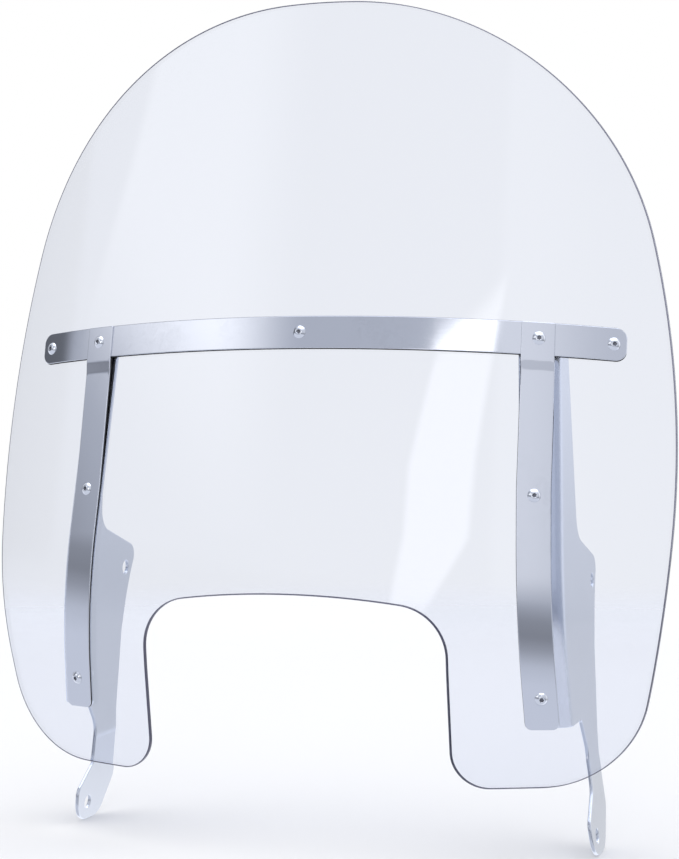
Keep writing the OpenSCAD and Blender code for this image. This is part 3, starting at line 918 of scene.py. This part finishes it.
class WS_OT_brackets(bpy.types.Operator):
    """The two side brackets, each a taped flange bent back into a plate with a tail and two mounting holes"""

    bl_idname = "windshield.brackets"
    bl_label = "Side brackets"

    def execute(self, context):
        s, k, b = context.scene.ws_screen, context.scene.ws_steel, context.scene.ws_bolt
        curve = Curve(s)
        skin = s.thickness + k.tape
        face = s.curve - skin
        round_x = k.plate_x - k.plate_bend
        bend_at = np.array([round_x, s.curve - np.sqrt((face - k.plate_bend) ** 2 - round_x**2)])
        end = np.arcsin(round_x / (face - k.plate_bend))
        bend_long = k.plate_bend * (pi / 2 - end)
        # the splay turns the whole bracket about the sheet's normal at this point
        side, drop = HINGE_AT / s.curve, HINGE_DROP
        hinge = np.array([
            s.curve * sin(side),
            s.line_y + s.curve * (1 - cos(side)) * cos(s.lean) + drop * sin(s.lean),
            s.line_z - s.curve * (1 - cos(side)) * sin(s.lean) + drop * cos(s.lean),
        ])
        axis = np.array([sin(side), -cos(side) * cos(s.lean), cos(side) * sin(s.lean)])

        def splayed(p):
            d = p - hinge
            along = (d @ axis)[..., None] * axis
            return hinge + d * cos(k.splay) + np.cross(axis, d) * sin(k.splay) + along * (1 - cos(k.splay))

        def fold(a, z, depth):
            """The folded sheet metal.

            Across, a runs over the flange's circle up to 0, round the bend's circle, and then straight back along
            the plate. Below the tail's height the plate turns outwards about a line beside it.
            """
            flange, rest = a < 0, np.maximum(a - bend_long, 0)
            angle = end + np.where(flange, a / face, np.clip(a, 0, bend_long) / k.plate_bend)
            radius = np.where(flange, face, k.plate_bend) - depth
            x = np.where(flange, 0, bend_at[0]) + radius * np.sin(angle)
            back = np.where(flange, s.curve, bend_at[1]) - radius * np.cos(angle) + rest
            y = curve.rear(back, z)
            t = np.clip((k.tail_z - z) / TAIL_LONG, 0, 1)
            turned = k.tail_turn * t * t * (3 - 2 * t)
            dx, dz = x - k.plate_x - FLARE, z - k.tail_z
            x = k.plate_x + FLARE + dx * np.cos(turned) - dz * np.sin(turned)
            z = k.tail_z + dx * np.sin(turned) + dz * np.cos(turned)
            return splayed(np.stack([x, y, z], -1))

        def rim(centre, ways, radius, start):
            """A hole's rim on the unfolded plate.

            Each step brings its points nearer to the circle round centre, seen along the bore.
            """
            a = np.linspace(0, -2 * pi, MOUNT_SIDES, endpoint=False)
            want = radius * np.stack([np.cos(a), np.sin(a)], 1)
            at = np.tile(np.array(start, float), (len(a), 1)) + want
            small, depth = 1e-5, np.full(len(a), k.plate / 2)
            for _ in range(8):
                p = fold(at[:, 0], at[:, 1], depth)
                da = (fold(at[:, 0] + small, at[:, 1], depth) - p) @ ways.T / small
                dz = (fold(at[:, 0], at[:, 1] + small, depth) - p) @ ways.T / small
                miss = want - (p - centre) @ ways.T
                det = da[:, 0] * dz[:, 1] - da[:, 1] * dz[:, 0]
                at[:, 0] += (miss[:, 0] * dz[:, 1] - miss[:, 1] * dz[:, 0]) / det
                at[:, 1] += (miss[:, 1] * da[:, 0] - miss[:, 0] * da[:, 1]) / det
            return at

        def developed(y, z):
            return bend_long + curve.behind(y, z) - bend_at[1]

        plate = rounded(np.array(PLATE_CORNERS) * MM, STEP)[1:-1]
        plate = np.stack([developed(plate[:, 0], plate[:, 1]), plate[:, 1]], 1)
        inner = face * (np.arcsin(k.flange_x / face) - end)

        def flange_top(a, lift):
            back = np.where(a < 0, s.curve - face * np.cos(end + a / face), bend_at[1])
            return s.line_z + lift * cos(s.lean) - back * sin(s.lean)

        a = np.linspace(plate[-1, 0], inner, 6)
        flange = np.stack([a, flange_top(a, 9.7 * MM)], 1)
        bow = 6 * MM
        corner = arc((inner + bow, FLANGE_FOOT + bow), bow, pi, 1.5 * pi, 2 * MM)
        line = evenly(np.concatenate([plate, flange, corner]), STEP)
        # more points where the flat pattern goes round the bend
        ahead = np.roll(line, -1, 0)[:, 0]
        fine = (line[:, 0] > -2 * MM) & (line[:, 0] < bend_long + 2 * MM) & (ahead > -2 * MM)
        line = split(line, np.where(fine & (np.abs(ahead - line[:, 0]) > 0.6 * MM), 4, 1))
        ways = np.array([[0.0, 1.0, 0.0], [0.0, 0.0, 1.0]])
        rims = [rim(np.array(m), ways, k.mount, (developed(*m[1:]), m[2] + lift)) for m, lift in MOUNTS]
        for n in STRAP_BOLTS:
            spot, axes = curve.spot(*BOLTS[n][:2])
            a = face * (np.arcsin(spot[0] / s.curve) - end)
            rims.append(rim(spot, axes[:2], b.hole, (a, spot[2])))
        flat_part = steps(bend_long + 1 * MM, plate[:, 0].max(), 5 * MM)
        columns = np.concatenate([steps(inner, -1 * MM, STEP), steps(0, bend_long, 0.8 * MM), flat_part])
        # closer rows at the turn into the tail
        low, high = steps(line[:, 1].min(), 0.050, WIDE_STEP), steps(0.061, s.line_z + 0.009, WIDE_STEP)
        rows = np.concatenate([low, steps(0.051, 0.059, 1 * MM), high])
        loops = [line, *rims]
        made = slab(loops, [(0, 0)] * len(loops), fold, k.plate, 2 * k.edge, columns, rows, clear=0.3)
        # the tape on the flange, as wide as the strap in front of it less a margin
        levels = steps(FLANGE_FOOT + 2 * MM, s.line_z + 4 * MM, WIDE_STEP)
        heights = [k.strap_foot, s.line_z + STRAP_MID, s.line_z + STRAP_TOP]
        strap = np.interp(levels, heights, [k.strap_low + FOOT_OUT, k.strap_mid, k.strap_top])
        slope = np.tan(k.splay)

        def across(x):
            """Where the unfolded flange is when it shows at x."""
            back = curve.behind(curve.rear(curve.sink(x, skin), levels), levels) - curve.sink(hinge[0], 0.0)
            before = x + (levels - hinge[2]) * slope - back * sin(s.lean) * slope
            return face * (np.arcsin(before / face) - end)

        trim = k.strap_half - 1.5 * MM
        tape_in = np.maximum(across(strap - trim), inner + 1 * MM)
        tape_out = np.minimum(across(strap + trim), -0.2 * MM)
        outer, inner = (
            np.stack([edge, np.minimum(levels, flange_top(edge, 7.7 * MM))], 1)
            for edge in (tape_out, tape_in)
        )
        tape_line = evenly(np.concatenate([outer, inner[::-1]]), STEP)

        def foam(a, z, depth):
            angle = end + a / face
            radius = s.curve - s.thickness - GAP - depth
            y = curve.rear(s.curve - radius * np.cos(angle), z)
            return splayed(np.stack([radius * np.sin(angle), y, z], -1))

        grid = steps_over(tape_line, STEP, WIDE_STEP)
        loops = [tape_line, *rims[len(MOUNTS):]]
        tape = slab(loops, [(0, 0)] * len(loops), foam, k.tape - 2 * GAP, TAPE_EDGE, *grid, clear=0.4)
        for side, way in SIDES.items():
            plate_names = (f"side_plate_{side}", f"{side}_bracket", "bracket_plate", "Bracket steel")
            tape_names = (f"flange_gasket_{side}", f"{side}_bracket_tape", "gasket_tape", "Gasket tape")
            piece(*plate_names, *made, mirrored=way < 0)
            piece(*tape_names, *tape, mirrored=way < 0)
        return {"FINISHED"}


class WS_OT_bolts(bpy.types.Operator):
    """The nine button-head screws with their threads and hexagon sockets, the washers and the cap nuts"""

    bl_idname = "windshield.bolts"
    bl_label = "Screws, washers and nuts"

    def execute(self, context):
        s, k, b = context.scene.ws_screen, context.scene.ws_steel, context.scene.ws_bolt
        curve, n, chamfer = Curve(s), b.facets, 0.15 * MM
        a = np.linspace(0, 2 * pi, n, endpoint=False)
        heads = {"bar": k.tape + k.strip, "pad": k.tape + 2 * k.strip}
        backs = {"sheet": s.thickness, "bracket": s.thickness + k.tape + k.plate}

        def screw(front, back):
            """A dome over a rim, with a hexagon socket, on a shank.

            The thread is a wave that climbs one pitch in each turn.
            """
            ball, hexes = 6.2 * MM, hexagon(b.socket, n)
            rim_low = np.sqrt(ball**2 - b.head**2) - ball + b.head_high
            lift = np.linspace(np.arcsin(b.head / ball), np.arcsin(2.4 * MM / ball), 9)
            dome = [(ball * sin(t), front + b.head_high - ball + ball * cos(t)) for t in lift]
            flat_top = dome[-1][1]
            rows = [(0, front + 1.1 * MM), (hexes * 0.5, front + 1.15 * MM), (hexes, front + 1.4 * MM)]
            rows += [(hexes, flat_top - 0.25 * MM), (1.8 * MM, flat_top - 0.02 * MM), (2.1 * MM, flat_top)]
            rows += dome[::-1]
            rows += [(b.head, front + rim_low * 0.5), (b.head - 0.06 * MM, front + 0.12 * MM)]
            rows += [(b.head - 0.25 * MM, front), (b.shank, front)]
            tip = -back - b.washer_thick - b.nut_high - 0.5 * MM
            heights = np.linspace(front - 0.2 * MM, tip + 0.3 * MM, ceil((front - tip) / b.pitch * 6))
            wave = (heights[:, None] / b.pitch + a[None] / (2 * pi)) % 1
            threads = b.shank - 0.40 * MM * np.abs(2 * wave - 1)
            rows += [(threads[i], heights[i]) for i in range(len(heights))]
            rows += [(b.shank * 0.8, tip), (0, tip)]
            points, faces = spun(rows, n)
            # the socket and the wall under the rim get a darker steel, painted shade for the hollow and for the
            # shadow under the head, and come last
            painted_shade = np.isin(np.arange(len(faces)) // n, [0, 1, 2, 6 + len(dome), 7 + len(dome)])
            return points, np.concatenate([faces[~painted_shade], faces[painted_shade]]), int((~painted_shade).sum())

        def washer(back):
            low, r, hole, c = -back - b.washer_thick - 0.03 * MM, b.washer, b.shank + 0.2 * MM, chamfer
            high = low + b.washer_thick
            rows = [(hole + c, low), (r - c, low), (r, low + c), (r, high - c), (r - c, high)]
            rows += [(hole + c, high), (hole, high - c), (hole, low + c), (hole + c, low)]
            points, faces = spun(rows[::-1], n)
            return points, faces, len(faces)

        def nut(back):
            base = -back - b.washer_thick - 0.05 * MM
            hexes, ball = hexagon(b.nut, n), b.nut - 0.3 * MM
            low, high = base - b.nut_high, base
            over = low + 0.5 * MM
            bore_in = b.shank + 0.05 * MM
            rows = [(bore_in, high - 3 * MM), (bore_in, high - 0.2 * MM), (b.shank + 0.3 * MM, high)]
            rows += [(np.minimum(hexes, b.nut * 1.03), high), (hexes, high - 0.35 * MM)]
            rows += [(hexes, low + 0.45 * MM), (np.minimum(hexes, b.nut * 1.02), low), (ball + chamfer, low)]
            lift = np.linspace(np.arcsin(0.5 * MM / ball), pi / 2, 12)
            rows += [(ball * cos(t), over - ball * sin(t)) for t in lift]
            points, faces = spun(rows, n)
            return points, faces, len(faces)

        shapes = {}
        for number, (name, (u, v, head, back)) in enumerate(BOLTS.items()):
            sides = {"": 1} if name == "centre" else {"_left": 1, "_right": -1}
            for order, (side, way) in enumerate(sides.items()):
                place, axes = curve.spot(u * way, v)
                # no two screws or nuts stand at the same turn
                twist = radians(17 + 97 * order + 41 * number)
                for kind, label, turned, key, make in (
                    ("button_screw", "screw", twist, (head, back), lambda: screw(heads[head], backs[back])),
                    ("flat_washer", "washer", 0.0, back, lambda: washer(backs[back])),
                    ("cap_nut", "nut", twist, back, lambda: nut(backs[back])),
                ):
                    if (kind, key) not in shapes:
                        shapes[kind, key] = make()
                    points, faces, plain = shapes[kind, key]
                    c, d = cos(turned), sin(turned)
                    points = place + points @ np.array([[c, d, 0], [-d, c, 0], [0, 0, 1]]) @ axes
                    names = (f"{kind}_{name}{side}", f"{label}_{name}{side}", "fasteners", "Bolt steel")
                    # the screws' socket and under-rim faces take the steel with painted shade
                    painted_shade = "Painted shade steel" if label == "screw" else None
                    closed(piece(*names, points, faces.tolist(), plain=plain, rim=painted_shade))
        return {"FINISHED"}


# the camera's sensor in millimetres, its shift across and up, and what it looks at
SENSOR, SHIFT, AIM = 36, (0.0261, 0.0068), (0.0128, -0.0711, 0.3123)
# the room's grey at each height, in degrees up
ROOM_GREYS = (
    (-90, 0.7), (-26, 0.74), (-20, 0.64), (-15, 0.40), (-11, 0.29), (-6, 0.33), (0, 0.52), (12, 0.56),
    (40, 0.60), (52, 0.9), (64, 2.4),
)


class WS_OT_stage(bpy.types.Operator):
    """The pale floor and backdrop, the soft lights and the camera"""

    bl_idname = "windshield.stage"
    bl_label = "Studio"

    def execute(self, context):
        w = context.scene.ws_studio
        scene = context.scene
        scene.view_settings.view_transform = "Standard"
        self.world(w, scene)
        self.floor(w, scene)
        self.lights(w, scene)
        self.camera(w, scene)
        return {"FINISHED"}

    def world(self, w, scene):
        """A plain backdrop, and a soft room that only shines in the steel and the sheet.

        Around is degrees from the front to the left, and rise is degrees up. The room is a grey that changes
        with height, brighter to the left and the rear, with a wide soft light to the right and a tall one ahead.
        """
        scene.world = bpy.data.worlds.new("Studio")
        scene.world.use_nodes = True
        tree = scene.world.node_tree
        tree.nodes.clear()
        where = add(tree, "ShaderNodeTexCoord").outputs["Generated"]
        x, y, z = add(tree, "ShaderNodeSeparateXYZ", {0: where}).outputs

        def do(kind, *values):
            return maths(tree, kind, *values)

        def within(*edges):
            """The product of edges that rise or, with a 1 and a 0 at the end, fall between two values."""
            return product(tree, *(ramp(tree, *edge) for edge in edges))

        around = do("DEGREES", do("ARCTAN2", x, do("MULTIPLY", y, -1.0)))
        rise = do("DEGREES", do("ARCSINE", z))
        # the grey room, whose dark middle lies lower on the left
        level = do("ADD", rise, do("MULTIPLY_ADD", x, 10.4, -4.6))
        grey = add(tree, "ShaderNodeValToRGB", {"Fac": do("MULTIPLY_ADD", level, 1 / 180, 0.5)})
        stops = grey.color_ramp.elements
        for number, (place, value) in enumerate(ROOM_GREYS):
            stop = stops.new(place / 180 + 0.5) if number else stops[0]
            stop.color = (value, value, value, 1)
        rear = do("MULTIPLY", ramp(tree, y, 0.0, 0.5), 0.45)
        left = within((around, 17.0, 20.0), (around, 23.0, 42.0, 1.0, 0.3), (rise, -3.0, 8.0))
        far_right = within(
            (around, -102.0, -96.0), (around, -76.0, -72.0, 1.0, 0.0),
            (rise, 0.0, 8.0), (rise, 42.0, 50.0, 1.0, 0.0),
        )
        room = do("MULTIPLY", grey.outputs[0], do("MULTIPLY_ADD", far_right, -0.68, 1.0))
        # the wide light: its outer side leans
        outer = do("SUBTRACT", around, do("MULTIPLY_ADD", rise, 1.3, -92.5))
        wide = within(
            (outer, 0.0, 2.5), (around, -40.0, -20.0, 1.0, 0.0),
            (rise, 14.0, 22.0), (rise, 50.0, 62.0, 1.0, 0.0),
        )
        # the tall light: both sides lean, more so near its top
        high = do("MAXIMUM", do("SUBTRACT", rise, 20.0), 0.0)
        low_side = do("MULTIPLY_ADD", do("MAXIMUM", rise, 0.0), 0.1, -0.3)
        near = do("SUBTRACT", around, do("MULTIPLY_ADD", high, 1.2, low_side))
        away = do("SUBTRACT", do("MULTIPLY_ADD", high, 0.5, do("MULTIPLY_ADD", rise, 0.38, 7.9)), around)
        top = do("MULTIPLY_ADD", around, -0.12, do("ADD", rise, 2.3))
        tall = within((near, -0.6, 1.2), (away, -0.5, 1.5), (top, 24.3, 25.3, 1.0, 0.0), (rise, -8.0, 1.0))
        grey_light = add(tree, "ShaderNodeBackground", {"Color": (0.86, 0.92, 1.08, 1), "Strength": room})
        lamp_light = do("MULTIPLY_ADD", wide, w.wide_power, do("MULTIPLY", tall, w.tall_power))
        lamp_light = do("MULTIPLY_ADD", left, 0.27, do("ADD", lamp_light, rear))
        white_light = add(tree, "ShaderNodeBackground", {"Color": (1, 1, 1, 1), "Strength": lamp_light})
        soft = add(tree, "ShaderNodeAddShader", {0: grey_light.outputs[0], 1: white_light.outputs[0]})
        plain = add(tree, "ShaderNodeBackground", {"Color": (1, 1, 1, 1), "Strength": w.backdrop})
        # a ray that goes straight through the sheet gets here with an odd depth, and one that is reflected inside
        # it with an even one
        path = add(tree, "ShaderNodeLightPath")
        straight = do("MODULO", path.outputs["Ray Depth"], 2.0)
        through = do("MULTIPLY", path.outputs["Is Transmission Ray"], straight)
        seen = do("MAXIMUM", path.outputs["Is Camera Ray"], through)
        seen = do("MAXIMUM", seen, path.outputs["Is Diffuse Ray"])
        mix = add(tree, "ShaderNodeMixShader", {0: seen, 1: soft.outputs[0], 2: plain.outputs[0]})
        end = tree.nodes.new("ShaderNodeOutputWorld")
        tree.links.new(mix.outputs[0], end.inputs["Surface"])

    def floor(self, w, scene):
        """A round floor that fades into the backdrop."""
        mat, tree, end, where = new_material("Studio floor")
        far = add(tree, "ShaderNodeVectorMath", {0: where}, operation="LENGTH").outputs["Value"]
        fade = ramp(tree, far, w.floor_reach * 0.35, w.floor_reach * 0.95)
        matt = {"Base Color": (*w.floor, 1), "Roughness": 0.9, "Specular IOR Level": 0.1}
        pale = add(tree, "ShaderNodeBsdfPrincipled", matt)
        gone = add(tree, "ShaderNodeBsdfTransparent")
        mix = add(tree, "ShaderNodeMixShader", {0: fade, 1: pale.outputs[0], 2: gone.outputs[0]})
        tree.links.new(mix.outputs[0], end.inputs["Surface"])
        sides, level = 96, cad_box[0].z - 0.2 * MM
        a = np.linspace(0, 2 * pi, sides, endpoint=False)
        rim = np.stack([w.floor_reach * np.cos(a), w.floor_reach * np.sin(a), np.full(sides, level)], 1)
        mesh = bpy.data.meshes.new("studio_floor")
        mesh.from_pydata(rim.tolist(), [], [list(range(sides))])
        mesh.materials.append(mat)
        obj = bpy.data.objects.new("studio_floor", mesh)
        obj.visible_glossy = False
        scene.collection.objects.link(obj)

    def lights(self, w, scene):
        """A tall strip light ahead on the rider's left, and a wide light overhead."""

        def panel(name, place, aim, wide, high, power):
            light = bpy.data.lights.new(name, "AREA")
            light.shape, light.size, light.size_y, light.energy = "RECTANGLE", wide, high, power
            obj = bpy.data.objects.new(name, light)
            obj.location = place
            obj.rotation_mode = "QUATERNION"
            obj.rotation_quaternion = (Vector(aim) - Vector(place)).to_track_quat("-Z", "Y")
            obj.visible_camera = obj.visible_transmission = obj.visible_glossy = False
            scene.collection.objects.link(obj)

        focus = Vector((0.12, -0.08, 0.30))
        around, rise, reach = radians(9.5), radians(10.0), 2.5
        way = Vector((sin(around) * cos(rise), -cos(around) * cos(rise), sin(rise)))
        panel("strip_light", focus + way * reach, focus, 0.78, 1.26, w.strip_power)
        panel("overhead_light", (0.0, 0.25, 2.4), (0.0, 0.15, 0.0), 2.6, 2.2, w.top_power)

    def camera(self, w, scene):
        data = bpy.data.cameras.new("camera")
        data.lens, data.sensor_width, data.sensor_height = w.lens, SENSOR, SENSOR
        data.shift_x, data.shift_y = SHIFT
        data.clip_start, data.clip_end = 0.05, 50
        cam = bpy.data.objects.new("camera", data)
        a, e = w.view_turn, w.view_rise
        ahead = Vector((-sin(a) * cos(e), cos(a) * cos(e), -sin(e)))
        cam.location = Vector(AIM) - ahead * w.view_reach
        cam.rotation_mode = "QUATERNION"
        cam.rotation_quaternion = ahead.to_track_quat("-Z", "Y")
        scene.collection.objects.link(cam)
        scene.camera = cam


GROUPS = {
    "ws_screen": WS_ScreenSettings,
    "ws_steel": WS_SteelSettings,
    "ws_bolt": WS_BoltSettings,
    "ws_finish": WS_FinishSettings,
    "ws_studio": WS_StudioSettings,
}
MAKERS = (WS_OT_stage, WS_OT_clear_screen, WS_OT_brace, WS_OT_straps, WS_OT_brackets, WS_OT_bolts)


class WS_PT_panel(bpy.types.Panel):
    """Lists the windshield's pieces and settings"""

    bl_idname = "WS_PT_panel"
    bl_label = "Motorcycle windshield"
    bl_space_type = "VIEW_3D"
    bl_region_type = "UI"
    bl_category = "Windshield"

    def draw(self, context):
        for maker in MAKERS:
            self.layout.operator(maker.bl_idname)
        for key, kind in GROUPS.items():
            box = self.layout.box()
            box.label(text=kind.__doc__)
            for name in kind.__annotations__:
                box.prop(getattr(context.scene, key), name)


def register():
    for kind in (*GROUPS.values(), *MAKERS, WS_PT_panel):
        bpy.utils.register_class(kind)
    for key, kind in GROUPS.items():
        setattr(bpy.types.Scene, key, PointerProperty(type=kind))


def unregister():
    for key in GROUPS:
        delattr(bpy.types.Scene, key)
    for kind in reversed((*GROUPS.values(), *MAKERS, WS_PT_panel)):
        bpy.utils.unregister_class(kind)


def main():
    register()
    bpy.ops.windshield.stage()
    bpy.ops.windshield.clear_screen()
    bpy.ops.windshield.brace()
    bpy.ops.windshield.straps()
    bpy.ops.windshield.brackets()
    bpy.ops.windshield.bolts()


if __name__ == "__main__":
    main()
